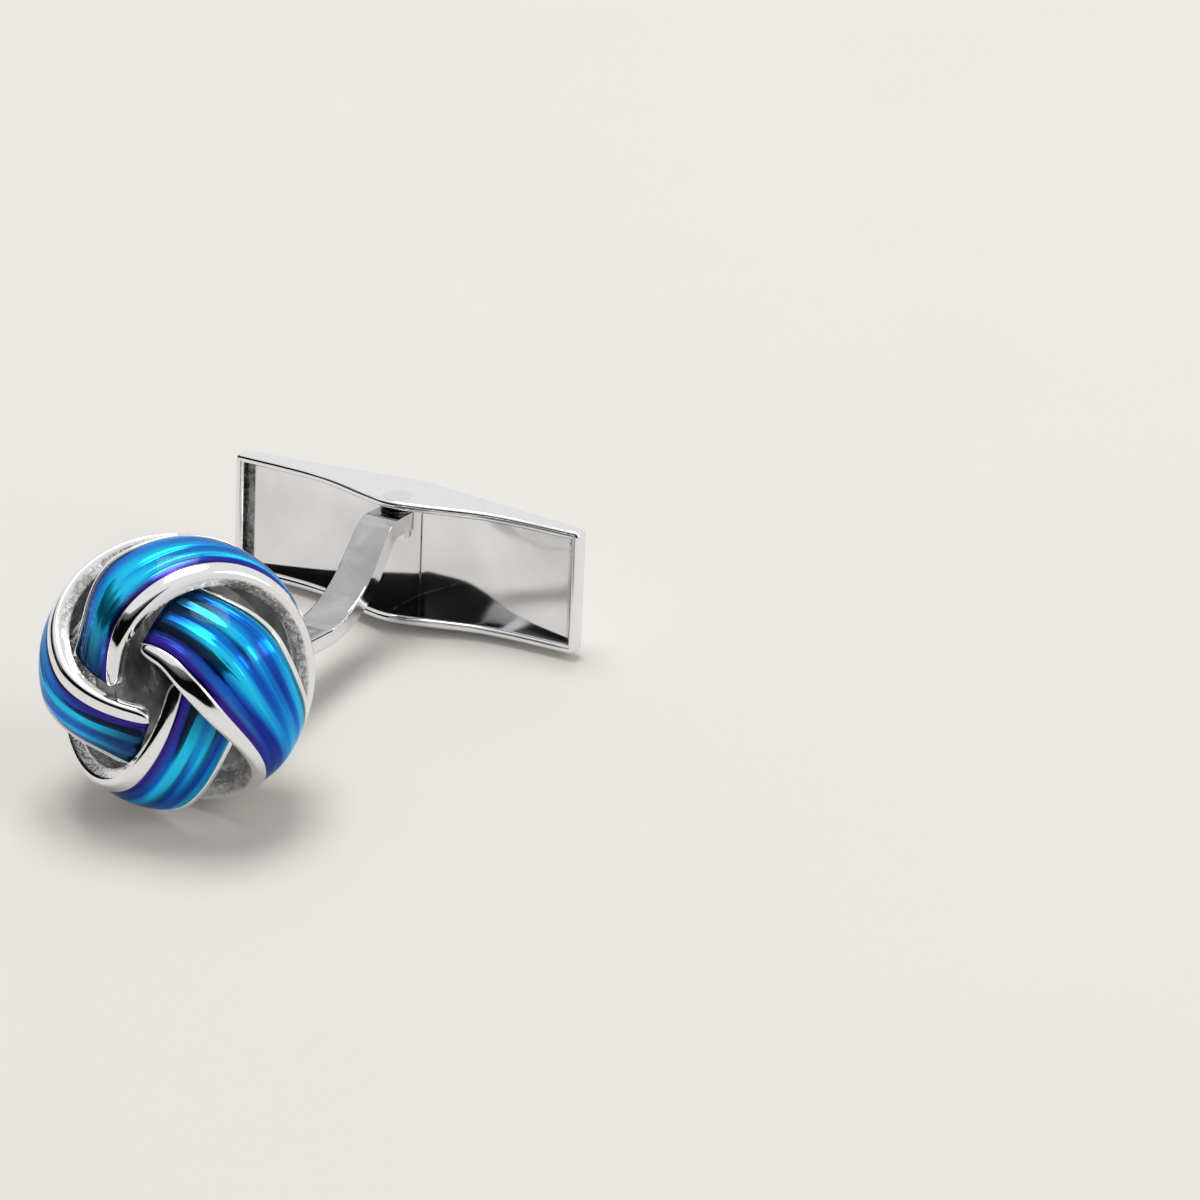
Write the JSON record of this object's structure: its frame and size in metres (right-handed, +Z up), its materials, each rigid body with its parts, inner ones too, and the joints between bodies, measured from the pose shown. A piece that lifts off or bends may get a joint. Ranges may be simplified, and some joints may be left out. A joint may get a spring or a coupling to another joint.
{
  "type": "cufflink",
  "caption": "Cufflink with an open ball of woven, enamelled metal bands on a swan-neck arm and a swivelling pointed bar that passes through the cuff.",
  "frame": {"origin": "middle of the outline, on the table that the cufflink lies on", "axes": "+X along the swivel bar at rest, +Y from the knot to the bar, +Z up"},
  "size_m": [0.0198, 0.0272, 0.013],
  "materials": {
    "knot_metal": "bright polished plate over brass",
    "back_metal": "bright polished plate over brass",
    "washer_steel": "plain spring steel",
    "enamel": "glossy translucent blue enamel"
  },
  "bodies": {
    "head": {"top_band": "knot_metal", "top_enamel": "enamel", "right_band": "knot_metal", "right_enamel": "enamel", "bottom_band": "knot_metal", "bottom_enamel": "enamel", "left_band": "knot_metal", "left_enamel": "enamel", "knot_base": "knot_metal", "swan_neck_arm": "back_metal"},
    "bar": {"bar_shell": "back_metal", "pivot_rivet": "back_metal", "spring_washer": "washer_steel"}
  },
  "joints": [
    {"name": "bar_swivel", "type": "hinge", "parent": "head", "child": "bar", "pos_m": [0, 0.01034, 0.00358], "axis": [0, 0.1585, 0.9874], "range_deg": [-85, 85]}
  ]
}
